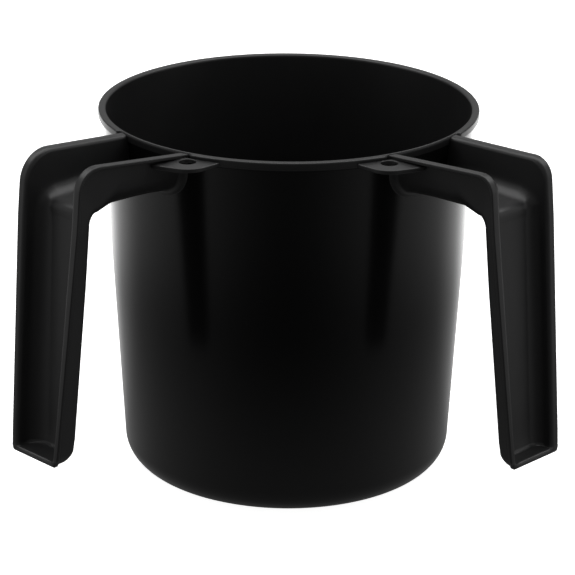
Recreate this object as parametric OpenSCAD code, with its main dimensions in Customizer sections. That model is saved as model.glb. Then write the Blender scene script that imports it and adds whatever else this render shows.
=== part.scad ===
// Low florist bucket: a round, slightly flared shell with a stiff flange round its mouth, and two
// long channel-shaped handles that leave the rim 90 degrees apart and turn down outside the shell.
// Millimetres, +Z up. The origin is the centre of the flat base. The handles are on the -Y side,
// one to the left and one to the right of it. Beside each handle's root, a flat ear with a round
// hole fills the corner between the flange and the handle's near wall.

/* [Bucket] */
// Height from the base to the top of the rim
bucket_h = 163; // [130:1:230]
// Outside radius of the flange round the mouth
rim_r = 82.5; // [70:0.5:115]
// How far the flange stands out from the wall
flange_w = 1.6; // [1.2:0.1:3]
// Height of the flange's outer face
flange_h = 3.3; // [2.8:0.1:6]
// How much smaller the wall's outside radius is at the base than at the rim
flare = 8.8; // [4:0.1:16]
// Thickness of the wall
wall = 1.8; // [1.2:0.1:3]
// Thickness of the floor
floor_t = 2.4; // [1.6:0.1:4]
// Outside radius of the rounded edge between base and wall
base_round = 12; // [6:0.5:18]

/* [Handles] */
// Angle in degrees from straight ahead (-Y) to the middle of each handle
turn = 45; // [38:0.5:70]
// Thickness of the handle's walls and web
arm_wall = 2; // [1.4:0.1:3]
// Clear width of the channel at the rim
root_w = 31.5; // [26:0.5:44]
// Clear width of the channel at the bend
bend_w = 28; // [22:0.5:36]
// Clear width of the channel at the tip
tip_w = 22; // [16:0.2:28]
// Depth of the arm's underside below the rim
arm_depth = 17.5; // [14:0.5:24]
// Outside radius of the channel's two long corners in the arm
arm_corner = 11.5; // [4:0.5:13]
// Outside radius of the channel's two long corners in the drop
drop_corner = 3; // [2:0.5:6]
// Angle in degrees by which the channel's side walls close in towards its web
draft = 3; // [0:0.5:5]
// Radius on the finger side of the bend
bend_inner = 4; // [2:0.5:8]
// How far the outward lip stands out from the channel's wall, on the arm
lip_w = 2.6; // [1:0.1:4]
// How far the lip stands out at the tip
tip_lip_w = 1; // [0.8:0.1:3]
// Thickness of the lip
lip_t = 1.6; // [1:0.1:3]
// Extra depth of the arm where it meets the wall of the bucket
haunch = 3; // [0:0.5:5]
// Length over which that extra depth fades out
haunch_l = 16; // [6:1:24]
// Thickness of the wall that closes the tip
tip_wall = 3; // [2:0.5:6]
// Radius of the tip's corner on the finger side
tip_round = 6; // [3:0.5:8]
// How much each side of the channel rounds in at the tip
tip_side = 2; // [0.5:0.5:3]

/* [Left handle] */
// Distance from the flange's outer face to the drop's free edges, measured level with the rim
left_edge = 52.1; // [42:0.1:78]
// Outward lean of the free edges, in degrees
left_edge_lean = 5.9; // [0:0.1:12]
// Distance from the flange's outer face to the drop's finger side, measured level with the rim
left_web = 41.2; // [32:0.1:62]
// Outward lean of the finger side, in degrees
left_web_lean = 5.2; // [0:0.1:8]
// Upward slope of the arm's free edges, in degrees
left_rise = 5.6; // [0:0.1:8]
// How far the tip is below the rim
left_drop = 122; // [70:1:125]
// Radius of the outer corner of the bend
left_corner = 10; // [4:0.5:14]

/* [Right handle] */
// Distance from the flange's outer face to the drop's free edges, measured level with the rim
right_edge = 49.8; // [42:0.1:78]
// Outward lean of the free edges, in degrees
right_edge_lean = 6; // [0:0.1:12]
// Distance from the flange's outer face to the drop's finger side, measured level with the rim
right_web = 40.5; // [32:0.1:62]
// Outward lean of the finger side, in degrees
right_web_lean = 5.9; // [0:0.1:8]
// Upward slope of the arm's free edges, in degrees
right_rise = 3.1; // [0:0.1:8]
// How far the tip is below the rim
right_drop = 122; // [70:1:125]
// Radius of the outer corner of the bend
right_corner = 7.5; // [4:0.5:14]

/* [Ears] */
// Diameter of the hole in each ear
ear_hole_d = 7; // [4:0.5:9]
// Distance from the flange's outer face to the hole's centre
ear_hole_out = 4.2; // [3:0.1:8]
// Distance from the channel's outer face to the hole's centre
ear_hole_side = 7.3; // [6:0.1:12]
// Width of material round the hole
ear_land = 6.5; // [4:0.1:9]
// How far the ear reaches out along the arm, from the flange
ear_reach = 13.5; // [10:0.5:20]
// Thickness of the ear
ear_t = 1.8; // [1.2:0.1:2.4]

/* [Clearances] */
// Gap between each lip and the cut end of the flange
slot_gap = 1.6; // [0.5:0.1:3]

/* [Hidden] */
plastic = [0.07, 0.07, 0.075];
arm_plastic = [0.1, 0.1, 0.105];

wall_top_r = rim_r - flange_w;
wall_base_r = wall_top_r - flare;
wall_lean = atan(flare / bucket_h);
flange_edge = 0.5;                      // small bevel on the flange's lower outer edge
lip_edge = 0.5;                         // small bevel on the lip's outer edge
root_out = root_w / 2 + arm_wall;       // outer face of the channel at the rim
slot_half = root_out + lip_w + slot_gap;
root_u = wall_base_r;                   // the channel starts inside the wall and is cut to it
round_fn = 180;                         // smoothness of the bucket
hole_fn = 48;                           // smoothness of the ears and their holes
past = 1;                               // how far a cut runs past the face it starts from
base_steps = 12;
corner_steps = 5;
bend_steps = 8;
haunch_steps = 4;
tip_steps = 4;
ear_top = bucket_h - flange_h + ear_t;
ear_v = root_out + ear_hole_side;
ear_r = rim_r + ear_hole_out;
ear_u = sqrt(ear_r * ear_r - ear_v * ear_v);
ear_blend = 2;                          // radius of the ear's two pointed ends
ear_tail = 0.1;                         // radius of its corner inside the channel's wall
left = [rim_r + left_edge, left_edge_lean, rim_r + left_web, left_web_lean, left_rise, left_drop, left_corner];
right = [rim_r + right_edge, right_edge_lean, rim_r + right_web, right_web_lean, right_rise, right_drop, right_corner];

// ---- Plane helpers -----------------------------------------------------------------------------
function mix(a, b, t) = a + (b - a) * t;
function dir(a) = [cos(a), sin(a)];
function arc(c, r, a0, a1, n) = [for (k = [0 : n]) c + r * dir(mix(a0, a1, k / n))];
function angle_to(c, p) = atan2(p.y - c.y, p.x - c.x);

// ---- The bucket's wall -------------------------------------------------------------------------
// Centre of a corner of radius r that touches a flat at height z0 and the wall line with foot f
function corner_centre(f, z0, r) = [f + (z0 + r) * tan(wall_lean) - r / cos(wall_lean), z0 + r];

module bucket_wall() {
    inner_round = base_round - wall;
    rotate_extrude($fn = round_fn)
        polygon(concat(
            [[0, 0]],
            arc(corner_centre(wall_base_r, 0, base_round), base_round, -90, -wall_lean, base_steps),
            [[wall_top_r, bucket_h], [wall_top_r - wall, bucket_h]],
            arc(corner_centre(wall_base_r - wall, floor_t, inner_round), inner_round, -wall_lean, -90, base_steps),
            [[0, floor_t]]));
}

// Everything inside the outer face of the wall, up past the rim
module inside_wall() {
    top = bucket_h + arm_depth;
    cylinder(h = top, r1 = wall_base_r, r2 = wall_base_r + top * tan(wall_lean), $fn = round_fn);
}

module flange() {
    rotate_extrude($fn = round_fn)
        polygon([
            [wall_top_r - wall / 2, bucket_h],
            [wall_top_r - wall / 2, bucket_h - flange_h],
            [rim_r - flange_edge, bucket_h - flange_h],
            [rim_r, bucket_h - flange_h + flange_edge],
            [rim_r, bucket_h]]);
}

// Room for one handle's root in the flange
module handle_slot() {
    translate([0, -slot_half, bucket_h - flange_h - past])
        cube([rim_r + past, 2 * slot_half, flange_h + 2 * past]);
}

// ---- The handle's side outline, in its own plane: x outward from the bucket's axis, y = height ----
function edge_u(s, z) = s[0] + (bucket_h - z) * tan(s[1]);
function web_u(s, z) = s[2] + (bucket_h - z) * tan(s[3]);
function top_z(s, u) = bucket_h + (u - rim_r) * tan(s[4]);
function tip_z(s) = bucket_h - s[5];
function under_z(u) =
    let (t = min(1, (u - root_u) / (wall_top_r + haunch_l - root_u)))
    bucket_h - arm_depth - haunch * pow(1 - t, 2);

// Normals of the arm's free edge and of the drop's free edge, and the centre of the corner between
function top_n(s) = [-sin(s[4]), cos(s[4])];
function edge_n(s) = [cos(s[1]), sin(s[1])];
function outer_centre(s) =
    let (a = top_n(s), b = edge_n(s),
         p = a * [rim_r, bucket_h] - s[6],
         q = b * [s[0], bucket_h] - s[6],
         det = a.x * b.y - a.y * b.x)
    [(p * b.y - q * a.y) / det, (a.x * q - b.x * p) / det];
function bend_centre(s) =
    let (z = bucket_h - arm_depth - bend_inner) [web_u(s, z) - bend_inner, z];

// Where a ray from the bend's centre, at angle a, meets the free edge
function free_edge(s, a) =
    let (c = bend_centre(s), o = outer_centre(s), e = dir(a), m = c - o, b = m * e)
    a >= angle_to(c, o + s[6] * top_n(s)) ?
        c + e * ((top_n(s) * ([rim_r, bucket_h] - c)) / (top_n(s) * e)) :
    a <= angle_to(c, o + s[6] * edge_n(s)) ?
        c + e * ((edge_n(s) * ([s[0], bucket_h] - c)) / (edge_n(s) * e)) :
        c + e * (-b + sqrt(b * b - m * m + s[6] * s[6]));

// A station is [point on the finger side, point on the free edge, half the clear width, corner, lip]
function arm_station(s, u) =
    let (t = (u - rim_r) / (bend_centre(s).x - rim_r))
    [[u, under_z(u)], [u, top_z(s, u)], mix(root_w, bend_w, t) / 2, arm_corner, lip_w];
function bend_station(s, k) =
    let (a = 90 * (1 - k / bend_steps), c = bend_centre(s))
    [c + bend_inner * dir(a), free_edge(s, a), bend_w / 2,
     mix(arm_corner, drop_corner, k / bend_steps), lip_w];
function drop_station(s, z) =
    let (top = bend_centre(s).y, t = (top - z) / (top - tip_z(s)))
    [[web_u(s, z), z], [edge_u(s, z), z], mix(bend_w, tip_w, t) / 2, drop_corner,
     mix(lip_w, tip_lip_w, t)];
function tip_station(s, k) =
    let (a = 90 * k / tip_steps, d = drop_station(s, tip_z(s) + tip_round * (1 - sin(a))))
    [d[0] + [tip_round * (1 - cos(a)), 0], d[1] - [lip_edge * 2 * (1 - cos(a)), 0],
     d[2] - tip_side * (1 - cos(a)), d[3], d[4]];

function outer_stations(s) = concat(
    [for (k = [0 : haunch_steps]) arm_station(s, mix(root_u, wall_top_r + haunch_l, k / haunch_steps))],
    [for (k = [0 : bend_steps]) bend_station(s, k)],
    [for (k = [0 : tip_steps]) tip_station(s, k)]);
function cavity_stations(s) = concat(
    [arm_station(s, root_u - past)],
    [for (k = [0 : haunch_steps]) arm_station(s, mix(root_u, wall_top_r + haunch_l, k / haunch_steps))],
    [for (k = [0 : bend_steps]) bend_station(s, k)],
    [drop_station(s, tip_z(s) + tip_wall)]);

// ---- Sections across the channel: x across, y from the finger side to the free edge ----------------
function mirrored(half) = concat(half, [for (k = [len(half) - 1 : -1 : 0]) [-half[k].x, half[k].y]]);
corner_share = 0.6;                     // most of the section's depth a corner may take
function corner_of(st, depth) = min(st[3], corner_share * depth);

function outer_section(st) =
    let (depth = norm(st[1] - st[0]), r = corner_of(st, depth), w = st[2] + arm_wall,
         foot = w - (depth - r) * tan(draft))
    mirrored(concat(
        arc([foot - r, r], r, -90, 0, corner_steps),
        [[w, depth - lip_t],
         [w + st[4], depth - lip_t],
         [w + st[4], depth - lip_edge],
         [w + st[4] - lip_edge, depth]]));

function cavity_section(st) =
    let (depth = norm(st[1] - st[0]), r = max(1, corner_of(st, depth) - arm_wall),
         foot = st[2] - (depth - arm_wall - r) * tan(draft))
    mirrored(concat(
        arc([foot - r, arm_wall + r], r, -90, 0, corner_steps),
        [[st[2], depth + past]]));

// Sets a section at its station
function placed(st, section) =
    let (d = (st[1] - st[0]) / norm(st[1] - st[0]))
    [for (p = section) [st[0].x + p.y * d.x, p.x, st[0].y + p.y * d.y]];

module loft(rings) {
    n = len(rings[0]);
    last = len(rings) - 1;
    polyhedron(
        points = [for (ring = rings, p = ring) p],
        faces = concat(
            [[for (j = [0 : n - 1]) j]],
            [for (k = [0 : last - 1], j = [0 : n - 1])
                let (i = (j + 1) % n) [k * n + j, (k + 1) * n + j, (k + 1) * n + i]],
            [for (k = [0 : last - 1], j = [0 : n - 1])
                let (i = (j + 1) % n) [k * n + j, (k + 1) * n + i, k * n + i]],
            [[for (j = [n - 1 : -1 : 0]) last * n + j]]));
}

// ---- The handle ---------------------------------------------------------------------------------
module channel_outside(s) {
    loft([for (st = outer_stations(s)) placed(st, outer_section(st))]);
}

module handle(s) {
    difference() {
        channel_outside(s);
        loft([for (st = cavity_stations(s)) placed(st, cavity_section(st))]);
        inside_wall();
    }
}

// ---- The ear, on the side of the handle given by near: it lies against the flange and the channel ----
module ear(s, near) {
    end_a = asin((ear_v + ear_land + ear_hole_d / 2 - ear_blend / 2) / rim_r);
    difference() {
        translate([0, 0, ear_top - ear_t])
            linear_extrude(ear_t)
                hull() {
                    translate([ear_u, near * ear_v])
                        circle(r = ear_hole_d / 2 + ear_land, $fn = hole_fn);
                    translate([rim_r + ear_reach - ear_blend, near * (root_out + lip_w - ear_blend)])
                        circle(r = ear_blend, $fn = hole_fn / 2);
                    translate((rim_r - ear_blend) * [cos(end_a), near * sin(end_a)])
                        circle(r = ear_blend, $fn = hole_fn / 2);
                    translate([wall_top_r, near * (root_out - arm_wall / 2)])
                        circle(r = ear_tail, $fn = hole_fn / 2);
                }
        translate([0, 0, ear_top - ear_t - past])
            cylinder(h = ear_t + 2 * past, r = rim_r, $fn = round_fn);
        translate([ear_u, near * ear_v, ear_top - ear_t - past])
            cylinder(h = ear_t + 2 * past, d = ear_hole_d, $fn = hole_fn);
        channel_outside(s);
    }
}

// ---- Nodes --------------------------------------------------------------------------------------
module bucket_shell() {
    color(plastic)
        union() {
            bucket_wall();
            difference() {
                flange();
                for (side = [-1, 1])
                    rotate([0, 0, -90 + side * turn])
                        handle_slot();
            }
        }
}

module left_handle() {
    color(arm_plastic)
        rotate([0, 0, -90 - turn])
            handle(left);
}

module left_ear() {
    color(arm_plastic)
        rotate([0, 0, -90 - turn])
            ear(left, 1);
}

module right_handle() {
    color(arm_plastic)
        rotate([0, 0, -90 + turn])
            handle(right);
}

module right_ear() {
    color(arm_plastic)
        rotate([0, 0, -90 + turn])
            ear(right, -1);
}

bucket_shell();
left_handle();
left_ear();
right_handle();
right_ear();
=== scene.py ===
"""The visual model of a florist bucket: a glossy round shell and two channel handles with ears.

Every size is in millimetres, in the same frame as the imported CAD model, and each finished mesh is
scaled to metres. The origin is the centre of the flat base, +Z is up, and the handles leave the
rim on the -Y side, one to the left and one to the right.
"""

from __future__ import annotations

import logging
import math
from dataclasses import dataclass, field
from enum import Enum
from typing import Any, Callable, Iterable, Sequence

import bmesh
import bpy
from mathutils import Matrix, Vector


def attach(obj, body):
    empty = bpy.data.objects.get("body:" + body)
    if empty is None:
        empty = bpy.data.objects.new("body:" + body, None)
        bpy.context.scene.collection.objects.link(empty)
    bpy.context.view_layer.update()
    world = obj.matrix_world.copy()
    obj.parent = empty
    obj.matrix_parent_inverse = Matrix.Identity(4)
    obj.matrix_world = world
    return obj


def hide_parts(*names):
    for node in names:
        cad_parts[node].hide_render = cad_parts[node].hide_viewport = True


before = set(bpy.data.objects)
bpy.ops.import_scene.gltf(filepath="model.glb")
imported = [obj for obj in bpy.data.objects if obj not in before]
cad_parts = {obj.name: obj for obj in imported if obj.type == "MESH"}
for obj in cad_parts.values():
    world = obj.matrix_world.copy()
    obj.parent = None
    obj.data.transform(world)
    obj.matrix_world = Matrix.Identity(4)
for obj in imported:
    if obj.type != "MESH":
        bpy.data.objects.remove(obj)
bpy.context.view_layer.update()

log = logging.getLogger("florist_bucket")

MM = 0.001
QUARTER = math.pi / 2


class Slot(Enum):
    """The material slots that the record names."""

    SHELL = "shell_plastic"
    HANDLE = "handle_plastic"


# ---------------------------------------------------------------------------------------------
# Shader graphs
# ---------------------------------------------------------------------------------------------


class Wire:
    """One output socket of a node, on which shader maths can be written as Python."""

    def __init__(self, graph: "Graph", socket: bpy.types.NodeSocket) -> None:
        """Keeps the socket and the graph that new nodes go into."""
        self.graph = graph
        self.socket = socket

    def _math(self, operation: str, a: "Wire | float", b: "Wire | float" = 0.0) -> "Wire":
        """Adds one Math node.

        Args:
            operation: the Math node's operation.
            a: its first value or link.
            b: its second value or link.

        Returns:
            The node's result.
        """
        return self.graph.out("ShaderNodeMath", {"operation": operation}, {0: a, 1: b})

    def __add__(self, other: "Wire | float") -> "Wire":
        """self + other."""
        return self._math("ADD", self, other)

    def __radd__(self, other: "Wire | float") -> "Wire":
        """other + self."""
        return self._math("ADD", other, self)

    def __sub__(self, other: "Wire | float") -> "Wire":
        """self - other."""
        return self._math("SUBTRACT", self, other)

    def __rsub__(self, other: "Wire | float") -> "Wire":
        """other - self."""
        return self._math("SUBTRACT", other, self)

    def __mul__(self, other: "Wire | float") -> "Wire":
        """self * other."""
        return self._math("MULTIPLY", self, other)

    def __rmul__(self, other: "Wire | float") -> "Wire":
        """other * self."""
        return self._math("MULTIPLY", other, self)

    def __truediv__(self, other: "Wire | float") -> "Wire":
        """self / other."""
        return self._math("DIVIDE", self, other)

    def __rtruediv__(self, other: "Wire | float") -> "Wire":
        """other / self."""
        return self._math("DIVIDE", other, self)

    def __pow__(self, other: "Wire | float") -> "Wire":
        """self to the power other."""
        return self._math("POWER", self, other)

    def top(self, other: "Wire | float") -> "Wire":
        """The larger of self and other."""
        return self._math("MAXIMUM", self, other)

    def ramp(self, low: float, high: float, start: float = 0.0, end: float = 1.0) -> "Wire":
        """Maps a range of this value smoothly onto another range.

        Args:
            low: the value that gives start.
            high: the value that gives end.
            start: the result at low and beyond.
            end: the result at high and beyond.

        Returns:
            The mapped value.
        """
        return self.graph.out(
            "ShaderNodeMapRange",
            {"interpolation_type": "SMOOTHSTEP"},
            {"Value": self, "From Min": low, "From Max": high, "To Min": start, "To Max": end},
        )


class Graph:
    """A node tree that is filled through one method for every kind of node."""

    def __init__(self, tree: bpy.types.NodeTree) -> None:
        """Takes an empty node tree."""
        self.tree = tree
        self.tree.nodes.clear()

    def node(
        self,
        kind: str,
        settings: dict[str, Any] | None = None,
        sockets: dict[int | str, Any] | None = None,
    ) -> bpy.types.Node:
        """Adds a node.

        Args:
            kind: the node's type.
            settings: the node's properties, set first; "stops" fills a colour ramp.
            sockets: values, Wires or sockets for its inputs, by name or number.

        Returns:
            The node.
        """
        made = self.tree.nodes.new(kind)
        for key, value in (settings or {}).items():
            if key == "stops":
                self._fill_ramp(made.color_ramp, value)
            else:
                setattr(made, key, value)
        for key, value in (sockets or {}).items():
            socket = made.inputs[key]
            if isinstance(value, Wire):
                self.tree.links.new(value.socket, socket)
            elif isinstance(value, bpy.types.NodeSocket):
                self.tree.links.new(value, socket)
            else:
                socket.default_value = value
        return made

    @staticmethod
    def _fill_ramp(ramp: bpy.types.ColorRamp, stops: Sequence[tuple[float, float]]) -> None:
        """Sets a ramp's stops.

        Args:
            ramp: the colour ramp.
            stops: pairs of place and grey value.
        """
        while len(ramp.elements) < len(stops):
            ramp.elements.new(0.5)
        for element, (place, grey) in zip(ramp.elements, stops):
            element.position = place
            element.color = (grey, grey, grey, 1.0)

    def out(
        self,
        kind: str,
        settings: dict[str, Any] | None = None,
        sockets: dict[int | str, Any] | None = None,
        output: int | str = 0,
    ) -> Wire:
        """Adds a node and gives one of its outputs.

        Args:
            kind: the node's type.
            settings: the node's properties.
            sockets: values or links for its inputs.
            output: the output's name or number.

        Returns:
            That output.
        """
        return Wire(self, self.node(kind, settings, sockets).outputs[output])

    def place(self, scale: Sequence[float] = (1.0, 1.0, 1.0)) -> Wire:
        """Object coordinates, scaled.

        Args:
            scale: the factor on each axis.

        Returns:
            The coordinates.
        """
        where = self.out("ShaderNodeTexCoord", output="Object")
        return self.out("ShaderNodeMapping", None, {"Vector": where, "Scale": tuple(scale)})

    def noise(self, where: Wire, scale: float, detail: float = 3.0, rough: float = 0.5) -> Wire:
        """A noise value from about 0 to 1.

        Args:
            where: the coordinates.
            scale: the number of blotches per metre.
            detail: the number of finer layers.
            rough: how strong the finer layers are.

        Returns:
            The noise.
        """
        return self.out(
            "ShaderNodeTexNoise",
            {"normalize": True},
            {"Vector": where, "Scale": scale, "Detail": detail, "Roughness": rough},
        )

    def blend(self, amount: Wire, low: Sequence[float], high: Sequence[float]) -> Wire:
        """Mixes two colours.

        Args:
            amount: 0 for low, 1 for high.
            low: the first colour.
            high: the second colour.

        Returns:
            The mixed colour.
        """
        return self.out(
            "ShaderNodeMix",
            {"data_type": "RGBA"},
            {0: amount, 6: (*low, 1.0), 7: (*high, 1.0)},
            output=2,
        )


# ---------------------------------------------------------------------------------------------
# Finishes
# ---------------------------------------------------------------------------------------------


@dataclass(frozen=True)
class MouldedPlastic:
    """Black moulded plastic: soft ripple, fine grain, drag marks and paler worn edges.

    Args:
        name: the material's name.
        tint: the plastic's colour.
        worn: its colour where it is worn.
        roughness: its middle roughness.
        spread: how far the roughness varies.
        ripple: depth of the soft ripple, in metres.
        ripple_scale: the number of ripples per metre.
        grain: depth of the fine grain, in metres.
        marks: depth of the drag marks, in metres.
        marks_along: the marks' scale on each axis; they are long where it is small.
        wear: how strong edge wear, scratches and specks are.
        foot_scuff: how strong the wear is at the foot.
    """

    name: str
    tint: tuple[float, float, float]
    worn: tuple[float, float, float]
    roughness: float
    spread: float
    ripple: float
    ripple_scale: float
    grain: float
    marks: float
    marks_along: tuple[float, float, float]
    wear: float
    foot_scuff: float = 0.0

    def material(self) -> bpy.types.Material:
        """Makes the material.

        Returns:
            A new material with its node tree filled.
        """
        made = bpy.data.materials.new(self.name)
        made.use_nodes = True
        made.diffuse_color = (*self.tint, 1.0)
        graph = Graph(made.node_tree)
        here = graph.place()
        along = graph.place(scale=self.marks_along)

        cloud = graph.noise(here, 22.0, 4.0, 0.6)
        speck = graph.noise(here, 900.0, 2.0, 0.6).ramp(0.66, 0.78)
        streak = graph.noise(along, 420.0, 4.0, 0.65)
        scratch = graph.noise(along, 1500.0, 2.0, 0.7).ramp(0.63, 0.74)
        height = graph.out("ShaderNodeSeparateXYZ", None, {"Vector": here}, output="Z")

        bend = graph.out("ShaderNodeNewGeometry", output="Pointiness")
        broken = graph.noise(here, 160.0, 5.0, 0.7).ramp(0.35, 0.65)
        edge = bend.ramp(0.53, 0.60) * (0.55 + 0.45 * broken) * self.wear
        foot = height.ramp(0.0, 0.006, 1.0, 0.0) * broken * self.foot_scuff
        worn = edge.top(foot)

        pale = worn + self.wear * (0.2 * scratch + 0.12 * speck)
        colour = graph.blend(pale, self.tint, self.worn)
        shade = graph.out(
            "ShaderNodeMix",
            {"data_type": "RGBA", "blend_type": "MULTIPLY"},
            {0: 1.0, 6: colour, 7: graph.blend(cloud, (0.8, 0.8, 0.8), (1.2, 1.2, 1.22))},
            output=2,
        )
        roughness = (
            self.roughness
            + self.spread * (cloud - 0.5)
            + 0.6 * self.spread * (streak - 0.5)
            + (0.14 * self.wear) * scratch
            + 0.22 * worn
        )
        ripple = graph.noise(here, self.ripple_scale, 2.0, 0.4)
        grain = graph.noise(here, 2600.0, 2.0, 0.5)
        lift = (
            ripple * self.ripple
            + grain * self.grain
            + streak * self.marks
            - scratch * (self.marks * 0.5)
        )
        bump = graph.out(
            "ShaderNodeBump",
            None,
            {"Strength": 1.0, "Distance": 1.0, "Height": lift},
            output="Normal",
        )
        surface = graph.node(
            "ShaderNodeBsdfPrincipled",
            None,
            {
                "Base Color": shade,
                "Roughness": roughness,
                "Normal": bump,
                "Metallic": 0.0,
                "IOR": 1.5,
            },
        )
        graph.node("ShaderNodeOutputMaterial", None, {"Surface": surface.outputs[0]})
        return made


SHELL_FINISH = MouldedPlastic(
    name="glossy_black_plastic",
    tint=(0.0036, 0.0036, 0.0037),
    worn=(0.022, 0.022, 0.023),
    roughness=0.2,
    spread=0.08,
    ripple=0.00006,
    ripple_scale=26.0,
    grain=0.0000015,
    marks=0.000004,
    marks_along=(1.0, 1.0, 0.06),
    wear=0.22,
    foot_scuff=0.6,
)

# Satin plastic for the shell's inside and its flange band. The higher roughness is the satin
# finish. The tint, five times lighter than the shell's, is painted light: it paints in the light
# falling into the mouth from above and the sheen along the flange band.
SATIN_WITH_PAINTED_LIGHT = MouldedPlastic(
    name="satin_painted_light_plastic",
    tint=(0.018, 0.018, 0.0182),
    worn=(0.03, 0.03, 0.031),
    roughness=0.34,
    spread=0.12,
    ripple=0.00008,
    ripple_scale=30.0,
    grain=0.000002,
    marks=0.000006,
    marks_along=(1.0, 1.0, 0.08),
    wear=0.4,
)

HANDLE_FINISH = MouldedPlastic(
    name="satin_black_plastic",
    tint=(0.023, 0.023, 0.0232),
    worn=(0.06, 0.06, 0.061),
    roughness=0.36,
    spread=0.14,
    ripple=0.00022,
    ripple_scale=75.0,
    grain=0.000004,
    marks=0.000016,
    marks_along=(1.0, 1.0, 0.12),
    wear=1.0,
)


# ---------------------------------------------------------------------------------------------
# Mesh tools
# ---------------------------------------------------------------------------------------------


class Pen:
    """Draws a chain of edges in a mesh's XZ plane, by extruding and spinning its last vertex."""

    def __init__(self, mesh: bmesh.types.BMesh, start: tuple[float, float]) -> None:
        """Sets the first vertex.

        Args:
            mesh: the mesh to draw in.
            start: its radius and height.
        """
        self.mesh = mesh
        self.last = mesh.verts.new((start[0], 0.0, start[1]))

    def line(self, *points: tuple[float, float]) -> "Pen":
        """Draws straight edges through points.

        Args:
            points: radius and height of each point.

        Returns:
            The pen.
        """
        for radius, height in points:
            grown = bmesh.ops.extrude_vert_indiv(self.mesh, verts=[self.last])
            self.last = grown["verts"][0]
            self.last.co = (radius, 0.0, height)
        return self

    def arc(self, centre: tuple[float, float], angle: float, steps: int) -> "Pen":
        """Draws an arc from the last vertex.

        Args:
            centre: radius and height of its centre.
            angle: the turn in radians, positive from +X towards +Z.
            steps: the number of edges.

        Returns:
            The pen.
        """
        spun = bmesh.ops.spin(
            self.mesh,
            geom=[self.last],
            cent=(centre[0], 0.0, centre[1]),
            axis=(0.0, -1.0, 0.0),
            angle=angle,
            steps=steps,
        )
        self.last = next(g for g in spun["geom_last"] if isinstance(g, bmesh.types.BMVert))
        return self


def grow_loop(
    mesh: bmesh.types.BMesh, loop: list[bmesh.types.BMVert], points: Iterable[Vector]
) -> list[bmesh.types.BMVert]:
    """Extrudes a closed loop of vertices to new places.

    Args:
        mesh: the mesh.
        loop: the loop's vertices in order.
        points: the new place of each vertex.

    Returns:
        The new loop's vertices in the same order.
    """
    pairs = zip(loop, loop[1:] + loop[:1])
    edges = [next(e for e in vert.link_edges if other in e.verts) for vert, other in pairs]
    grown = bmesh.ops.extrude_edge_only(mesh, edges=edges)
    fresh = {g for g in grown["geom"] if isinstance(g, bmesh.types.BMVert)}
    after = [next(o for e in v.link_edges if (o := e.other_vert(v)) in fresh) for v in loop]
    for vert, point in zip(after, points):
        vert.co = point
    return after


def quarter_turn(steps: int) -> list[float]:
    """Angles from 0 to a quarter turn, in radians.

    Args:
        steps: the number of steps between them.

    Returns:
        The angles, with both ends.
    """
    return [QUARTER * k / steps for k in range(steps + 1)]


def sharp_edges(
    mesh: bmesh.types.BMesh, degrees: float, wanted: Callable[[bmesh.types.BMEdge], bool]
) -> list[bmesh.types.BMEdge]:
    """Finds the edges where the surface turns sharply.

    Args:
        mesh: the mesh.
        degrees: the least turn between an edge's two faces.
        wanted: says which edges may be taken.

    Returns:
        The edges.
    """
    limit = math.radians(degrees)
    return [
        e
        for e in mesh.edges
        if len(e.link_faces) == 2 and e.calc_face_angle(0.0) > limit and wanted(e)
    ]


def with_corners(faces: Iterable[bmesh.types.BMFace]) -> list[Any]:
    """Faces together with their edges and vertices.

    Args:
        faces: the faces.

    Returns:
        The faces, edges and vertices, each once.
    """
    geom: dict[Any, None] = {}
    for face in faces:
        geom.update(dict.fromkeys([face, *face.edges, *face.verts]))
    return list(geom)


def soften(mesh: bmesh.types.BMesh, edges: Iterable[bmesh.types.BMEdge], size: float) -> None:
    """Rounds edges.

    Args:
        mesh: the mesh.
        edges: the edges to round.
        size: how far the rounding reaches from each edge.
    """
    bmesh.ops.bevel(
        mesh,
        geom=list(edges),
        offset=size,
        offset_type="OFFSET",
        segments=4,
        profile=0.5,
        affect="EDGES",
        clamp_overlap=True,
        material=-1,
    )


def to_piece(
    mesh: bmesh.types.BMesh, name: str, finishes: Sequence[bpy.types.Material]
) -> bpy.types.Object:
    """Turns a mesh in millimetres into a finished piece of the object.

    Args:
        mesh: the mesh, which is used up.
        name: the piece's name.
        finishes: its materials, which its faces name by number.

    Returns:
        The piece, riding on the root body.
    """
    bmesh.ops.scale(mesh, vec=(MM, MM, MM), verts=mesh.verts)
    for face in mesh.faces:
        face.smooth = True
    open_edges = sum(1 for e in mesh.edges if len(e.link_faces) != 2)
    data = bpy.data.meshes.new(name)
    mesh.to_mesh(data)
    mesh.free()
    for finish in finishes:
        data.materials.append(finish)
    piece = bpy.data.objects.new(name, data)
    bpy.context.scene.collection.objects.link(piece)
    even = piece.modifiers.new("even_normals", "WEIGHTED_NORMAL")
    even.keep_sharp = True
    even.weight = 60
    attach(piece, "root")
    log.info("%s: %d faces, %d edges not closed", name, len(data.polygons), open_edges)
    return piece


# ---------------------------------------------------------------------------------------------
# The shell
# ---------------------------------------------------------------------------------------------


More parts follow.
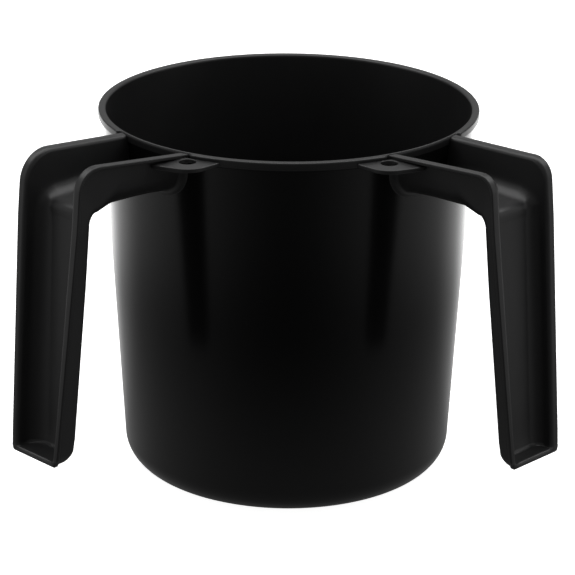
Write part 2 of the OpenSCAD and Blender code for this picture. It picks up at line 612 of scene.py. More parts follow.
@dataclass
class Shell:
    """The bucket's wall, floor and rim flange.

    Args:
        height: height of the rim.
        rim_radius: outside radius of the flange.
        flange_width: how far the flange stands out from the wall.
        flange_height: height of the flange's outer face.
        flare: how much smaller the wall's outside radius is at the base than at the rim.
        wall: thickness of the wall.
        floor: thickness of the floor.
        base_round: radius of the rounding between base and wall.
        slot_half: half the width of the flange's gap at a handle.
        slot_bearings: the handles' directions from +X, in degrees.
        edge_round: rounding of the flange's edges.
        mouth_round: rounding of the mouth's inner edge.
        turns: the number of steps round the wall.
        base_steps: the number of steps in the rounding of the base.
        rows: heights of the wall's rings of vertices below the flange.
        band_rows: distances of two more rings, below the flange and below the rim.
        sharp: the least turn of an edge that is rounded, in degrees.
        margin: how far a face's middle or a vertex may lie off the surface it belongs to.
    """

    height: float = 163.0
    rim_radius: float = 82.5
    flange_width: float = 1.6
    flange_height: float = 3.3
    flare: float = 8.8
    wall: float = 1.8
    floor: float = 2.4
    base_round: float = 12.0
    slot_half: float = 21.95
    slot_bearings: tuple[float, ...] = (-135.0, -45.0)
    edge_round: float = 0.7
    mouth_round: float = 1.0
    turns: int = 192
    base_steps: int = 14
    rows: tuple[float, ...] = (30.0, 60.0, 90.0, 120.0, 145.0)
    band_rows: tuple[float, float] = (1.2, 1.5)
    sharp: float = 35.0
    margin: float = 0.2

    @property
    def wall_top(self) -> float:
        """Outside radius of the wall at the rim."""
        return self.rim_radius - self.flange_width

    @property
    def lean(self) -> float:
        """The wall's lean from upright, in radians."""
        return math.atan(self.flare / self.height)

    def radius(self, height: float) -> float:
        """Outside radius of the wall at a height."""
        return self.wall_top - (self.height - height) * math.tan(self.lean)

    def _corner(self, foot: float, flat: float, size: float) -> tuple[float, float]:
        """Centre of the rounding between a flat and the wall.

        Args:
            foot: radius at which the wall's line meets height 0.
            flat: the flat's height.
            size: the rounding's radius.

        Returns:
            Radius and height of the centre.
        """
        level = flat + size
        return foot + level * math.tan(self.lean) - size / math.cos(self.lean), level

    def _profile(self, mesh: bmesh.types.BMesh) -> None:
        """Draws half of the wall and floor, from the base's middle to the floor's middle.

        Args:
            mesh: the mesh to draw in.
        """
        outer = self._corner(self.radius(0.0), 0.0, self.base_round)
        size = self.base_round - self.wall
        inner = self._corner(self.radius(0.0) - self.wall, self.floor, size)
        band = self.height - self.flange_height
        below, under = self.band_rows
        levels = [*self.rows, band - below, band, self.height - under, self.height]
        pen = Pen(mesh, (0.0, 0.0))
        pen.line((outer[0] * 0.5, 0.0), (outer[0], 0.0))
        pen.arc(outer, QUARTER - self.lean, self.base_steps)
        pen.line(*[(self.radius(z), z) for z in levels])
        pen.line(*[(self.radius(z) - self.wall, z) for z in reversed(levels)])
        out, down = size * math.cos(self.lean), size * math.sin(self.lean)
        pen.line((inner[0] + out, inner[1] - down))
        pen.arc(inner, self.lean - QUARTER, self.base_steps)
        pen.line((inner[0] * 0.5, self.floor), (0.0, self.floor))

    def _flange_faces(self, mesh: bmesh.types.BMesh) -> list[bmesh.types.BMFace]:
        """Cuts the wall's top band at the handle slots.

        Args:
            mesh: the spun wall.

        Returns:
            The faces of the band between the slots.
        """
        low = self.height - self.flange_height

        def in_band(face: bmesh.types.BMFace) -> bool:
            """Whether a face is on the outside of the top band."""
            middle = face.calc_center_median()
            radius = math.hypot(middle.x, middle.y)
            outside = radius > self.radius(middle.z) - self.wall / 2
            return outside and low < middle.z < self.height - self.margin

        turns = [Matrix.Rotation(math.radians(b), 3, "Z") for b in self.slot_bearings]
        axes = [(turn @ Vector((1, 0, 0)), turn @ Vector((0, 1, 0))) for turn in turns]
        for out, across in axes:
            for side in (-1, 1):
                near = [f for f in mesh.faces if in_band(f) and f.calc_center_median().dot(out) > 0]
                bmesh.ops.bisect_plane(
                    mesh,
                    geom=with_corners(near),
                    dist=1e-4,
                    plane_co=across * side * self.slot_half,
                    plane_no=across,
                )

        def in_slot(face: bmesh.types.BMFace) -> bool:
            """Whether a face lies inside one of the slots."""
            middle = face.calc_center_median()
            return any(
                middle.dot(out) > 0 and abs(middle.dot(across)) < self.slot_half
                for out, across in axes
            )

        return [f for f in mesh.faces if in_band(f) and not in_slot(f)]

    def _soften_rim(self, mesh: bmesh.types.BMesh, size: float, least: float, most: float) -> None:
        """Rounds the sharp edges of the top band between two radii.

        Args:
            mesh: the shell's mesh.
            size: the size of the rounding.
            least: the smallest radius of the edges.
            most: the largest radius of the edges.
        """
        low = self.height - self.flange_height - self.margin

        def wanted(edge: bmesh.types.BMEdge) -> bool:
            """Whether both ends of an edge are in the band and between the radii."""
            return all(
                v.co.z > low and least < math.hypot(v.co.x, v.co.y) < most for v in edge.verts
            )

        soften(mesh, sharp_edges(mesh, self.sharp, wanted), size)

    def _is_satin_with_painted_light(self, spot: Vector) -> bool:
        """Whether a place gets the satin material with painted light: the inside, lightened as
        painted light falling in from above, and the flange, lightened as a painted sheen along the
        band.
        """
        within = math.hypot(spot.x, spot.y) < self.radius(spot.z) - self.wall + self.margin
        flange = spot.z > self.height - self.flange_height - self.margin / 2
        return flange or (within and spot.z > self.floor - self.margin)

    def build(self, outside: bpy.types.Material, inside: bpy.types.Material) -> bpy.types.Object:
        """Makes the shell.

        Args:
            outside: the material of its polished outside.
            inside: the material of its inside and its flange: satin, with a lighter tint that is
                painted light.

        Returns:
            The finished piece.
        """
        mesh = bmesh.new()
        self._profile(mesh)
        bmesh.ops.spin(
            mesh,
            geom=list(mesh.verts) + list(mesh.edges),
            cent=(0, 0, 0),
            axis=(0, 0, 1),
            angle=math.tau,
            steps=self.turns,
            use_merge=True,
        )
        bmesh.ops.remove_doubles(mesh, verts=mesh.verts, dist=1e-3)
        bmesh.ops.recalc_face_normals(mesh, faces=mesh.faces)
        flange = with_corners(self._flange_faces(mesh))
        grown = bmesh.ops.extrude_face_region(mesh, geom=flange)
        for vert in grown["geom"]:
            if isinstance(vert, bmesh.types.BMVert):
                factor = self.rim_radius / math.hypot(vert.co.x, vert.co.y)
                vert.co.x *= factor
                vert.co.y *= factor
        bmesh.ops.recalc_face_normals(mesh, faces=mesh.faces)
        self._soften_rim(mesh, self.mouth_round, 0.0, self.wall_top - self.wall + self.margin)
        self._soften_rim(mesh, self.edge_round, self.rim_radius - self.margin, math.inf)
        for face in mesh.faces:
            # The inside and the flange get the second material, whose lighter tint is painted
            # light.
            face.material_index = int(self._is_satin_with_painted_light(face.calc_center_median()))
        piece = to_piece(mesh, "shell", [outside, inside])
        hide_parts("bucket_shell")
        return piece


# ---------------------------------------------------------------------------------------------
# The handles
# ---------------------------------------------------------------------------------------------


@dataclass(frozen=True)
class Side:
    """The sizes in which one handle differs from the other.

    Args:
        name: left or right.
        bearing: the handle's direction from +X, in degrees.
        ear_side: 1 or -1, the side of the handle's middle plane that faces its ear.
        edge: radius, at the rim's height, of the line through the drop's free edges.
        edge_lean: how far that line leans outwards, in degrees.
        web: radius, at the rim's height, of the line through the drop's finger side.
        web_lean: how far that line leans outwards, in degrees.
        rise: the slope of the arm's free edges, in degrees.
        corner: radius of the near free edge's outer corner.
        far_corner: radius of the far free edge's outer corner.
        far_tip_lip: how far the far lip stands out at the tip.
        drop: height of the rim over the tip's end.
    """

    name: str
    bearing: float
    ear_side: int
    edge: float
    edge_lean: float
    web: float
    web_lean: float
    rise: float
    corner: float
    far_corner: float
    far_tip_lip: float
    drop: float = 122.0


LEFT = Side(
    name="left",
    bearing=-135.0,
    ear_side=1,
    edge=134.6,
    edge_lean=5.9,
    web=123.7,
    web_lean=5.2,
    rise=5.6,
    corner=10.0,
    far_corner=13.5,
    far_tip_lip=1.3,
)
RIGHT = Side(
    name="right",
    bearing=-45.0,
    ear_side=-1,
    edge=132.3,
    edge_lean=6.0,
    web=123.0,
    web_lean=5.9,
    rise=3.1,
    corner=7.5,
    far_corner=9.0,
    far_tip_lip=2.4,
)


@dataclass(frozen=True)
class Station:
    """One cross-section of the channel, in the handle's own plane.

    Args:
        finger: radius and height of its foot, on the finger side.
        free: radius and height of the near wall's free edge.
        far: radius and height of the far wall's free edge.
        half: half the cavity's width at the free edges.
        corner: radius of the outside's rounding between web and walls.
        lip: how far the near lip stands out.
        far_lip: how far the far lip stands out.
        web: thickness on the finger side.
        trough: radius of the cavity's rounding between web and walls.
        shut: how far the cavity is filled, from 0 to 1.
        draw: how far all outer edges are drawn in.
        flare: how far the outside stands out, for the seam at the wall.
        gap: its distance from the bucket's wall, if it follows the wall.
    """

    finger: Vector
    free: Vector
    far: Vector
    half: float
    corner: float
    lip: float
    far_lip: float
    web: float
    trough: float
    shut: float = 0.0
    draw: float = 0.0
    flare: float = 0.0
    gap: float | None = None


@dataclass
class Handle:
    """One channel-shaped handle, from the rim to its closed tip.

    Args:
        side: what sets it apart from the other handle.
        shell: the shell that it is joined to.
        thickness: thickness of its walls and web.
        root_width: width of the cavity at the rim; bend_width and tip_width follow it.
        depth: depth of the arm at the rim.
        arm_corner: rounding of the arm's outside; bend_corner and drop_corner follow it.
        draft: the walls' lean, in radians.
        bend_radius: radius of the bend on the finger side.
        lip: how far the lip stands out; tip_lip is that at the tip.
        lip_height: thickness of the lip.
        haunch: the arm's extra depth above the shell's foot; it ends haunch_length outside
            the wall.
        tip_wall: thickness of the wall that closes the tip.
        tip_round: rounding of the tip on the finger side; tip_side is how far each of its
            sides narrows there.
        tip_edge: rounding of the tip's end.
        seam: size of the concave seam at the wall.
        seam_space: length of arm from the seam to the first straight section.
        overlap: how far the handle reaches into the wall.
        arm_trough: rounding of the arm's cavity; bend_trough and drop_trough follow it.
        mouth_round: rounding of the free edges towards the cavity.
        bend_blend: length of arm over which its rounding changes to the bend's.
        mitre: how sharp the cavity's floor turns at the bend; 2 is round.
        crease: rounding of the cavity at the tip's wall.
        end_mouth: rounding of the tip wall's free edge, as a share of mouth_round.
        end_slope: thickness by which the tip's wall grows from its free edge.
        clear: distance of the lowest rounded long edge from the tip's rounding.
        edge_round: rounding of the long edges.
        wall_clear: distance of the rounded long edges from the bucket's wall.
        sharp: the least turn of an edge that is rounded, in degrees.
        least_trough: the smallest rounding of the cavity.
    """

    side: Side
    shell: Shell
    thickness: float = 2.0
    root_width: float = 31.5
    bend_width: float = 28.0
    tip_width: float = 22.0
    depth: float = 17.5
    arm_corner: float = 11.5
    drop_corner: float = 3.0
    draft: float = math.radians(3.0)
    bend_radius: float = 4.0
    lip: float = 2.6
    tip_lip: float = 1.3
    lip_height: float = 1.6
    haunch: float = 3.0
    haunch_length: float = 16.0
    tip_wall: float = 2.6
    tip_round: float = 6.0
    tip_side: float = 2.0
    tip_edge: float = 0.9
    seam: float = 2.4
    seam_space: float = 1.6
    overlap: float = 0.4
    arm_trough: float = 6.5
    bend_trough: float = 5.5
    drop_trough: float = 9.5
    mouth_round: float = 1.9
    bend_corner: float = 4.0
    bend_blend: float = 10.0
    mitre: float = 4.0
    crease: float = 1.4
    end_mouth: float = 0.7
    end_slope: float = 0.3
    clear: float = 2.0
    edge_round: float = 0.5
    wall_clear: float = 0.3
    sharp: float = 32.0
    least_trough: float = 1.0
    corner_steps: int = 8
    seam_steps: int = 6
    arm_steps: int = 16
    bend_steps: int = 24
    drop_steps: int = 18
    end_steps: int = 5
    turn: Matrix = field(init=False)

    def __post_init__(self) -> None:
        """Works out the turn from the handle's own plane to the bucket's frame."""
        self.turn = Matrix.Rotation(math.radians(self.side.bearing), 3, "Z")

    # ---- the side outline ----

    def edge_at(self, z: float) -> float:
        """Radius of the drop's free edges at a height."""
        slope = math.tan(math.radians(self.side.edge_lean))
        return self.side.edge + (self.shell.height - z) * slope

    def web_at(self, z: float) -> float:
        """Radius of the drop's finger side at a height."""
        slope = math.tan(math.radians(self.side.web_lean))
        return self.side.web + (self.shell.height - z) * slope

    def top_at(self, u: float) -> float:
        """Height of the arm's free edges at a radius."""
        rise = math.tan(math.radians(self.side.rise))
        return self.shell.height + (u - self.shell.rim_radius) * rise

    def under_at(self, u: float) -> float:
        """Height of the arm's underside at a radius."""
        root = self.shell.radius(0.0)
        share = min(1.0, (u - root) / (self.shell.wall_top + self.haunch_length - root))
        return self.shell.height - self.depth - self.haunch * (1.0 - share) ** 2

    @property
    def pivot(self) -> Vector:
        """Centre of the bend's rounding on the finger side."""
        z = self.shell.height - self.depth - self.bend_radius
        return Vector((self.web_at(z) - self.bend_radius, z))

    @property
    def tip_z(self) -> float:
        """Height of the tip's end."""
        return self.shell.height - self.side.drop

    def free_edge(self, angle: float, corner: float) -> Vector:
        """Finds where a ray from the bend's pivot meets a free edge.

        Args:
            angle: the ray's angle from level, in radians.
            corner: the radius of the edge's outer corner.

        Returns:
            Radius and height of that point.
        """
        rise, lean = math.radians(self.side.rise), math.radians(self.side.edge_lean)
        over = Vector((-math.sin(rise), math.cos(rise)))
        outer = Vector((math.cos(lean), math.sin(lean)))
        rim = Vector((self.shell.rim_radius, self.shell.height))
        foot = Vector((self.side.edge, self.shell.height))
        p, q = over.dot(rim) - corner, outer.dot(foot) - corner
        det = over.x * outer.y - over.y * outer.x
        centre = Vector(((p * outer.y - q * over.y) / det, (over.x * q - outer.x * p) / det))
        pivot, ray = self.pivot, Vector((math.cos(angle), math.sin(angle)))
        first, last = centre + over * corner - pivot, centre + outer * corner - pivot
        if angle >= math.atan2(first.y, first.x):
            return pivot + ray * (over.dot(rim - pivot) / over.dot(ray))
        if angle <= math.atan2(last.y, last.x):
            return pivot + ray * (outer.dot(foot - pivot) / outer.dot(ray))
        back = pivot - centre
        reach = back.dot(ray)
        return pivot + ray * (-reach + math.sqrt(reach**2 - back.dot(back) + corner**2))

    # ---- stations ----

    def arm_station(self, u: float, flare: float = 0.0, gap: float | None = None) -> Station:
        """A cross-section of the arm.

        Args:
            u: its radius.
            flare: how far its outside stands out, for the seam at the wall.
            gap: its distance from the wall, if it follows the wall.

        Returns:
            The station.
        """
        share = (u - self.shell.rim_radius) / (self.pivot.x - self.shell.rim_radius)
        width = self.root_width + (self.bend_width - self.root_width) * share
        near_bend = max(0.0, 1.0 - (self.pivot.x - u) / self.bend_blend)
        top = Vector((u, self.top_at(u)))
        return Station(
            finger=Vector((u, self.under_at(u))),
            free=top,
            far=top,
            half=width / 2,
            corner=self.arm_corner + (self.bend_corner - self.arm_corner) * near_bend,
            lip=self.lip,
            far_lip=self.lip,
            web=self.thickness,
            trough=self.arm_trough,
            flare=flare,
            gap=gap,
        )

    def bend_station(self, angle: float) -> Station:
        """A cross-section of the bend.

        Args:
            angle: the angle of its ray from the pivot above level, in radians.

        Returns:
            The station.
        """
        ray = Vector((math.cos(angle), math.sin(angle)))
        reach = (ray.x**self.mitre + ray.y**self.mitre) ** (-1.0 / self.mitre)
        return Station(
            finger=self.pivot + ray * self.bend_radius,
            free=self.free_edge(angle, self.side.corner),
            far=self.free_edge(angle, self.side.far_corner),
            half=self.bend_width / 2,
            corner=self.bend_corner,
            lip=self.lip,
            far_lip=self.lip,
            web=(self.bend_radius + self.thickness) * reach - self.bend_radius,
            trough=self.arm_trough + (self.bend_trough - self.arm_trough) * math.sin(2.0 * angle),
        )

    def drop_station(self, z: float, shut: float = 0.0, draw: float = 0.0) -> Station:
        """A cross-section of the drop, rounded in where it is part of the tip.

        Args:
            z: its height.
            shut: how far the cavity is filled.
            draw: how far the outer edges are drawn in.

        Returns:
            The station.
        """
        share = (self.pivot.y - z) / (self.pivot.y - self.tip_z)
        early, soon = min(1.0, share * 4.0), min(1.0, share * 5.0)
        width = self.bend_width + (self.tip_width - self.bend_width) * share
        near_tip = min(1.0, max(0.0, (self.tip_z + self.tip_round - z) / self.tip_round))
        inward = 1.0 - math.sqrt(1.0 - near_tip**2)
        free = Vector((self.edge_at(z) - draw, z))
        return Station(
            finger=Vector((self.web_at(z) + self.tip_round * inward, z)),
            free=free,
            far=free,
            half=width / 2 - self.tip_side * inward,
            corner=self.bend_corner + (self.drop_corner - self.bend_corner) * early,
            lip=self.lip + (self.tip_lip - self.lip) * share,
            far_lip=self.lip + (self.side.far_tip_lip - self.lip) * share,
            web=self.thickness,
            trough=self.arm_trough + (self.drop_trough - self.arm_trough) * soon,
            shut=shut,
            draw=draw,
        )

    @staticmethod
    def _between(start: float, end: float, steps: int) -> list[float]:
        """Values at even steps from start, without end."""
        return [start + (end - start) * k / steps for k in range(steps)]

    def stations(self) -> list[Station]:
        """All the stations, from inside the bucket's wall to the tip's end.

        Returns:
            The stations in order.
        """
        wall, stop = self.shell.wall_top, self.tip_z + self.tip_wall
        made = [self.arm_station(wall - self.overlap, self.seam, -self.overlap)]
        for angle in quarter_turn(self.seam_steps):
            gap = self.seam * (1.0 - math.cos(angle))
            made.append(self.arm_station(wall + gap, self.seam * (1.0 - math.sin(angle)), gap))
        start = wall + self.seam + self.seam_space
        made += [self.arm_station(u) for u in self._between(start, self.pivot.x, self.arm_steps)]
        made += [self.bend_station(QUARTER - angle) for angle in quarter_turn(self.bend_steps)]
        levels = self._between(self.pivot.y, stop + self.crease, self.drop_steps)
        made += [self.drop_station(z) for z in levels[1:]]
        return made + self._end_wall(stop)

    def _end_wall(self, stop: float) -> list[Station]:
        """The stations of the tip's end wall: the cavity's crease, its rounded mouth and the end.

        Args:
            stop: the height of the end wall's inner face.

        Returns:
            The stations in order.
        """
        room = self.edge_at(stop) - self.web_at(stop) - self.thickness
        mouth, edge = self.mouth_round * self.end_mouth, self.tip_edge
        turns = [(math.sin(a), math.cos(a)) for a in quarter_turn(self.end_steps)]
        crease = [
            self.drop_station(stop + self.crease * (1.0 - up), self.crease * (1.0 - along) / room)
            for up, along in turns
        ]
        low = stop - self.end_slope
        brim = [
            self.drop_station(low - mouth * (1.0 - along), 1.0 - mouth * (1.0 - up) / room)
            for up, along in turns
        ]
        end = [
            self.drop_station(self.tip_z + edge * (1.0 - up), 1.0, edge * (1.0 - along))
            for up, along in turns
        ]
        return crease + brim + end

    # ---- cross-sections ----

    def _half(self, st: Station, depth: float, brim: float) -> list[Vector]:
        """Half of the channel's outline across a station.

        Args:
            st: the station.
            depth: the depth from the finger side to that half's free edge.
            brim: how far that half's lip stands out.

        Returns:
            The points from the middle of the finger side, round the lip and back to the middle of
            the cavity; x is across and y is from the finger side.
        """
        size = min(st.corner, 0.6 * depth)
        slope = math.tan(self.draft)
        side = st.half + self.thickness + st.flare - st.draw
        turn = size + st.flare
        foot = side - (depth - size) * slope
        under = depth - self.lip_height + st.draw
        lip = st.half + self.thickness + max(brim, st.flare + 0.1) - st.draw
        points = [Vector((0.0, -st.flare)), Vector(((foot - turn) * 0.6, -st.flare))]
        points += self._arc(Vector((foot - turn, size)), turn, -90.0, 0.0)
        points += [Vector((side - 1.2 * slope, under - 1.2)), Vector((side, under))]
        points += [Vector((lip, under)), Vector((lip, depth))]
        mouth = self.mouth_round
        trough = min(st.trough, depth - mouth - st.web - 0.3, 0.75 * st.half)
        trough = max(self.least_trough, trough)
        wall = st.half - (depth - st.web - trough) * slope
        inside = self._arc(Vector((st.half + mouth, depth - mouth)), mouth, 90.0, 180.0)
        inside += self._arc(Vector((wall - trough, st.web + trough)), trough, 0.0, -90.0)
        inside += [Vector(((wall - trough) * 0.5, st.web)), Vector((0.0, st.web))]
        return points + [Vector((p.x, p.y + (depth - p.y) * st.shut)) for p in inside]

    def _arc(self, centre: Vector, size: float, start: float, end: float) -> list[Vector]:
        """Points along an arc, with both ends.

        Args:
            centre: its centre.
            size: its radius.
            start: its first angle, in degrees.
            end: its last angle, in degrees.

        Returns:
            The points.
        """
        steps = self.corner_steps
        angles = [math.radians(start + (end - start) * k / steps) for k in range(steps + 1)]
        return [centre + Vector((math.cos(a), math.sin(a))) * size for a in angles]

    def _set(self, st: Station, point: Vector) -> Vector:
        """Puts a point of a section into the bucket's frame.

        Args:
            st: the section's station.
            point: x across, positive on the near side, and y from the finger side.

        Returns:
            The point in the bucket's frame.
        """
        across = point.x * self.side.ear_side
        span = st.free - st.finger
        if st.gap is None:
            along = st.finger + span.normalized() * point.y
            return self.turn @ Vector((along.x, across, along.y))
        level = math.sqrt(self.shell.wall_top**2 - across**2) + st.gap
        low, high = self.under_at(level), self.top_at(level)
        z = low + point.y * (high - low) / span.length
        radius = self.shell.radius(z)
        return self.turn @ Vector((math.sqrt(radius**2 - across**2) + st.gap, across, z))

    def _ring(self, st: Station) -> list[Vector]:
        """The whole outline at a station, in the bucket's frame.

        Args:
            st: the station.

        Returns:
            The points in order round the outline.
        """
        near = self._half(st, (st.free - st.finger).length, st.lip)
        far = reversed(self._half(st, (st.far - st.finger).length, st.far_lip))
        far = [Vector((-p.x, p.y)) for p in far]
        return [self._set(st, p) for p in near + far[1:-1]]

    # ---- the mesh ----

    def _channel(self) -> bmesh.types.BMesh:
        """Makes the channel with its closed tip.

        Returns:
            A closed mesh.
        """
        mesh = bmesh.new()
        rings = [self._ring(st) for st in self.stations()]
        loop = [mesh.verts.new(p) for p in rings[0]]
        for pair in zip(loop, loop[1:] + loop[:1]):
            mesh.edges.new(pair)
        mesh.faces.new(loop)
        for ring in rings[1:]:
            loop = grow_loop(mesh, loop, ring)
        mesh.faces.new(loop)
        bmesh.ops.recalc_face_normals(mesh, faces=mesh.faces)
        return mesh

    def build(self, finish: bpy.types.Material) -> bpy.types.Object:
        """Makes the handle's channel.

        Args:
            finish: its material.

        Returns:
            The finished piece.
        """
        mesh = self._channel()
        end = self.tip_z + self.tip_edge + self.clear

        def wanted(edge: bmesh.types.BMEdge) -> bool:
            """Whether an edge is outside the bucket's wall and above the tip's end."""
            spots = [(math.hypot(v.co.x, v.co.y), v.co.z) for v in edge.verts]
            return all(r > self.shell.radius(z) + self.wall_clear and z > end for r, z in spots)

        soften(mesh, sharp_edges(mesh, self.sharp, wanted), self.edge_round)
        piece = to_piece(mesh, f"{self.side.name}_channel", [finish])
        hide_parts(f"{self.side.name}_handle")
        return piece


@dataclass
class Ear:
    """The flat ear with a round hole, between the rim's flange and the handle's near wall.

    Args:
        side: the side that it is on.
        shell: the shell whose flange it lies under.
        handle: the handle that it is joined to.
        hole: diameter of the hole.
        hole_out: how far the hole's centre lies outside the rim's radius.
        hole_side: how far the hole's centre lies beside the channel's outer face.
        land: width of plastic round the hole.
        reach: how far the ear follows the channel beyond the rim's radius.
        thickness: its thickness.
        end_round: radius of its ends.
        root_round: radius of its corner at the wall.
        tuck: how far it reaches under the flange.
        merge: the least distance between two points of its outline.
        edge_round: rounding of its edges.
        sharp: the least turn of an edge that is rounded, in degrees.
        segments: the number of points round the hole.
    """

    side: Side
    shell: Shell
    handle: Handle
    hole: float = 7.0
    hole_out: float = 4.2
    hole_side: float = 7.3
    land: float = 6.5
    reach: float = 13.5
    thickness: float = 1.8
    end_round: float = 2.0
    root_round: float = 0.1
    tuck: float = 0.3
    merge: float = 0.3
    edge_round: float = 0.4
    sharp: float = 60.0
    segments: int = 144

    @property
    def channel_face(self) -> float:
        """Distance of the channel's outer face from the handle's middle plane."""
        return self.handle.root_width / 2 + self.handle.thickness

    def _discs(self) -> list[tuple[Vector, float]]:
        """Centres and radii of the discs whose hull is the ear's outline.

        Returns:
            The discs, in the handle's own frame.
        """
        rim, face = self.shell.rim_radius, self.channel_face
        across = face + self.hole_side
        centre = Vector((math.sqrt((rim + self.hole_out) ** 2 - across**2), across))
        end = math.asin((across + self.land + self.hole / 2 - self.end_round / 2) / rim)
        end_r = rim - self.end_round
        tail = Vector((rim + self.reach, face + self.handle.lip))
        return [
            (centre, self.hole / 2 + self.land),
            (tail - Vector((self.end_round, self.end_round)), self.end_round),
            (Vector((end_r * math.cos(end), end_r * math.sin(end))), self.end_round),
            (Vector((self.shell.wall_top, face - self.handle.thickness / 2)), self.root_round),
        ]

    def _reach(self, start: Vector, ray: Vector) -> float:
        """Distance from the hole's centre to the ear's outline.

        Args:
            start: the hole's centre.
            ray: the direction.

        Returns:
            The distance, which stops just inside the flange.
        """
        best = math.inf
        for k in range(360):
            normal = Vector((math.cos(math.radians(k)), math.sin(math.radians(k))))
            facing = normal.dot(ray)
            if facing > 1e-3:
                hull = max(normal.dot(c) + r for c, r in self._discs())
                best = min(best, (hull - normal.dot(start)) / facing)
        inside = self.shell.rim_radius - self.tuck
        half, rest = start.dot(ray), start.dot(start) - inside**2
        if half < 0 and half * half > rest:
            best = min(best, -half - math.sqrt(half * half - rest))
        return best

    def build(self, finish: bpy.types.Material) -> bpy.types.Object:
        """Makes the ear.

        Args:
            finish: its material.

        Returns:
            The finished piece.
        """
        mesh = bmesh.new()
        centre = self._discs()[0][0]
        top = self.shell.height - self.shell.flange_height + self.thickness
        radius = self.hole / 2
        ring = bmesh.ops.create_circle(mesh, cap_ends=False, segments=self.segments, radius=radius)
        loop = list(ring["verts"])
        rays = [Vector((v.co.x, v.co.y)).normalized() for v in loop]
        reaches = [self._reach(centre, ray) for ray in rays]
        bmesh.ops.translate(mesh, vec=(centre.x, centre.y, top), verts=loop)
        for share in (0.5, 1.0):
            spots = [
                centre + ray * (radius + (reach - radius) * share)
                for ray, reach in zip(rays, reaches)
            ]
            loop = grow_loop(mesh, loop, [Vector((spot.x, spot.y, top)) for spot in spots])
        bmesh.ops.remove_doubles(mesh, verts=loop, dist=self.merge)
        grown = bmesh.ops.extrude_face_region(mesh, geom=list(mesh.faces))
        moved = [g for g in grown["geom"] if isinstance(g, bmesh.types.BMVert)]
        bmesh.ops.translate(mesh, vec=(0, 0, -self.thickness), verts=moved)
        if self.side.ear_side < 0:
            bmesh.ops.scale(mesh, vec=(1, -1, 1), verts=mesh.verts)
        bmesh.ops.rotate(mesh, cent=(0, 0, 0), matrix=self.handle.turn, verts=mesh.verts)
        bmesh.ops.recalc_face_normals(mesh, faces=mesh.faces)
        soften(mesh, sharp_edges(mesh, self.sharp, lambda e: True), self.edge_round)
        piece = to_piece(mesh, f"{self.side.name}_lug", [finish])
        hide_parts(f"{self.side.name}_ear")
        return piece


# ---------------------------------------------------------------------------------------------
# The studio
# ---------------------------------------------------------------------------------------------


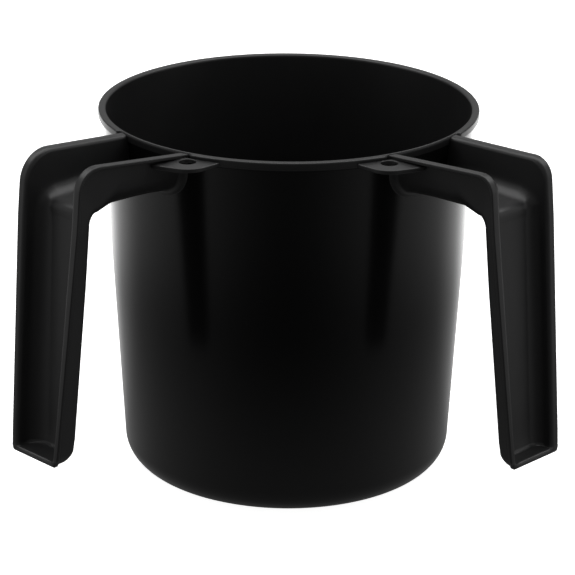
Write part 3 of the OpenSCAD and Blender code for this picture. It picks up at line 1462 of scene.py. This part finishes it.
@dataclass
class Studio:
    """The camera, the pale floor and the soft light round the object, in metres.

    Args:
        eye: the camera's place.
        pitch: how far it looks down, in radians.
        roll: how far it is turned about its own axis, in radians.
        lens: its focal length, in millimetres.
        sensor: its sensor's width, in millimetres.
        floor_radius: radius of the floor; the backdrop and the bounce card are larger.
        air: strength of the light from all round.
        light_target: the point that the soft lights face.
    """

    eye: tuple[float, float, float] = (0.0, -1.0808, 0.4888)
    pitch: float = 0.3631
    roll: float = 0.0074
    lens: float = 162.78
    sensor: float = 36.0
    floor_radius: float = 4.0
    air: float = 0.16
    light_target: tuple[float, float, float] = (0.0, 0.0, 0.08)

    def camera(self) -> bpy.types.Object:
        """Makes the camera.

        Returns:
            The camera, which is the scene's camera.
        """
        data = bpy.data.cameras.new("camera")
        data.lens = self.lens
        data.sensor_width = self.sensor
        data.clip_start, data.clip_end = 0.05, 50.0
        camera = bpy.data.objects.new("camera", data)
        ahead = Vector((0.0, math.cos(self.pitch), -math.sin(self.pitch)))
        right = Vector((1.0, 0.0, 0.0))
        up = right.cross(ahead)
        right, up = (
            right * math.cos(self.roll) + up * math.sin(self.roll),
            up * math.cos(self.roll) - right * math.sin(self.roll),
        )
        turn = Matrix((right, up, -ahead)).transposed()
        camera.matrix_world = Matrix.Translation(self.eye) @ turn.to_4x4()
        bpy.context.scene.collection.objects.link(camera)
        bpy.context.scene.camera = camera
        return camera

    @staticmethod
    def _link_stage(
        mesh: bmesh.types.BMesh, name: str, finish: bpy.types.Material
    ) -> bpy.types.Object:
        """Adds a piece of the studio, which isn't part of the object.

        Args:
            mesh: its mesh in metres, which is used up.
            name: its name.
            finish: its material.

        Returns:
            The piece.
        """
        data = bpy.data.meshes.new(name)
        mesh.to_mesh(data)
        mesh.free()
        data.materials.append(finish)
        piece = bpy.data.objects.new(name, data)
        bpy.context.scene.collection.objects.link(piece)
        return piece

    def floor(self) -> bpy.types.Object:
        """Makes the pale floor, which the plastic doesn't mirror.

        Returns:
            The floor.
        """
        made = bpy.data.materials.new("pale_floor")
        made.use_nodes = True
        graph = Graph(made.node_tree)
        cloud = graph.noise(graph.place(), 3.0, 3.0)
        surface = graph.node(
            "ShaderNodeBsdfPrincipled",
            None,
            {
                "Base Color": graph.blend(cloud, (0.86, 0.86, 0.86), (0.9, 0.9, 0.9)),
                "Roughness": 0.9,
                "Emission Color": (1.0, 1.0, 1.0, 1.0),
                "Emission Strength": 0.95,
            },
        )
        graph.node("ShaderNodeOutputMaterial", None, {"Surface": surface.outputs[0]})
        mesh = bmesh.new()
        bmesh.ops.create_circle(mesh, cap_ends=True, segments=96, radius=self.floor_radius)
        bmesh.ops.translate(mesh, vec=(0, 0, -0.0003), verts=mesh.verts)
        piece = self._link_stage(mesh, "floor", made)
        piece.visible_glossy = False
        piece.visible_diffuse = False
        return piece

    def backdrop(self) -> bpy.types.Object:
        """Makes the pale dome behind everything, which only the camera sees.

        Returns:
            The dome.
        """
        made = bpy.data.materials.new("pale_backdrop")
        made.use_nodes = True
        graph = Graph(made.node_tree)
        glow = graph.node(
            "ShaderNodeEmission", None, {"Color": (1.0, 1.0, 1.0, 1.0), "Strength": 1.05}
        )
        graph.node("ShaderNodeOutputMaterial", None, {"Surface": glow.outputs[0]})
        mesh = bmesh.new()
        radius = self.floor_radius * 1.5
        bmesh.ops.create_uvsphere(mesh, u_segments=48, v_segments=24, radius=radius)
        bmesh.ops.reverse_faces(mesh, faces=mesh.faces)
        piece = self._link_stage(mesh, "backdrop", made)
        for way in ("visible_glossy", "visible_diffuse", "visible_shadow", "visible_transmission"):
            setattr(piece, way, False)
        return piece

    def bounce(self) -> bpy.types.Object:
        """Makes the card under the floor that only reflections see: dark in front, pale behind.

        Returns:
            The card.
        """
        made = bpy.data.materials.new("bounce_card")
        made.use_nodes = True
        graph = Graph(made.node_tree)
        where = graph.out("ShaderNodeTexCoord", output="Object")
        split = graph.node("ShaderNodeSeparateXYZ", None, {"Vector": where})
        x, y = Wire(graph, split.outputs["X"]), Wire(graph, split.outputs["Y"])
        far = (x * x + y * y) ** 0.5
        behind = 0.5 + 0.5 * y / far.top(0.001)
        level = graph.out(
            "ShaderNodeValToRGB",
            {
                "stops": [
                    (0.0, 0.016),
                    (0.055, 0.036),
                    (0.165, 0.075),
                    (0.4, 0.125),
                    (0.585, 0.17),
                    (0.645, 0.22),
                    (0.795, 0.45),
                    (0.935, 1.0),
                ]
            },
            {0: behind},
        )
        near = far.ramp(0.06, 0.26, 0.11, 0.0)
        spread = far.ramp(0.22, 0.38, 1.0, 2.6)
        glow = graph.node("ShaderNodeEmission", None, {"Color": level, "Strength": spread})
        base = graph.node("ShaderNodeEmission", None, {"Color": (1, 1, 1, 1), "Strength": near})
        both = graph.node("ShaderNodeAddShader", None, {0: glow.outputs[0], 1: base.outputs[0]})
        graph.node("ShaderNodeOutputMaterial", None, {"Surface": both.outputs[0]})
        mesh = bmesh.new()
        bmesh.ops.create_circle(mesh, cap_ends=True, segments=96, radius=self.floor_radius * 1.4)
        bmesh.ops.translate(mesh, vec=(0, 0, -0.001), verts=mesh.verts)
        piece = self._link_stage(mesh, "bounce", made)
        for way in ("visible_camera", "visible_diffuse", "visible_shadow", "visible_transmission"):
            setattr(piece, way, False)
        return piece

    def softbox(
        self, name: str, at: Sequence[float], size: tuple[float, float], power: float
    ) -> bpy.types.Object:
        """Hangs one soft light, turned to the middle of the object.

        Args:
            name: its name.
            at: its place.
            size: its width and height.
            power: its power in watts.

        Returns:
            The light.
        """
        data = bpy.data.lights.new(name, "AREA")
        data.shape = "RECTANGLE"
        data.size, data.size_y = size
        data.energy = power
        light = bpy.data.objects.new(name, data)
        aim = Vector(self.light_target) - Vector(at)
        turn = aim.to_track_quat("-Z", "Y").to_matrix().to_4x4()
        light.matrix_world = Matrix.Translation(at) @ turn
        light.visible_camera = False
        bpy.context.scene.collection.objects.link(light)
        return light

    def build(self) -> None:
        """Sets up the whole studio."""
        self.camera()
        self.floor()
        self.backdrop()
        self.bounce()
        self.softbox("top_light", (0.0, 0.5, 1.9), (4.4, 1.8), 46.0)
        self.softbox("back_light", (0.0, 2.2, 0.9), (3.4, 1.0), 2.6)
        self.softbox("left_light", (-2.0, -0.3, 0.9), (1.2, 1.6), 3.0)
        self.softbox("right_light", (2.0, -0.3, 0.9), (1.2, 1.6), 3.6)
        world = bpy.data.worlds.new("studio")
        world.use_nodes = True
        bpy.context.scene.world = world
        graph = Graph(world.node_tree)
        light = {"Color": (1.0, 1.0, 1.0, 1.0), "Strength": self.air}
        air = graph.node("ShaderNodeBackground", None, light)
        graph.node("ShaderNodeOutputWorld", None, {"Surface": air.outputs[0]})
        bpy.context.scene.view_settings.view_transform = "Standard"
        log.info("studio: camera, floor, backdrop, bounce card and four soft lights")


def main() -> None:
    """Builds the studio and the object, piece by piece."""
    logging.basicConfig(level=logging.INFO, format="%(message)s")
    Studio().build()
    shell = Shell()
    shell.build(SHELL_FINISH.material(), SATIN_WITH_PAINTED_LIGHT.material())
    satin = HANDLE_FINISH.material()
    for side in (LEFT, RIGHT):
        handle = Handle(side, shell)
        handle.build(satin)
        Ear(side, shell, handle).build(satin)


if __name__ == "__main__":
    main()
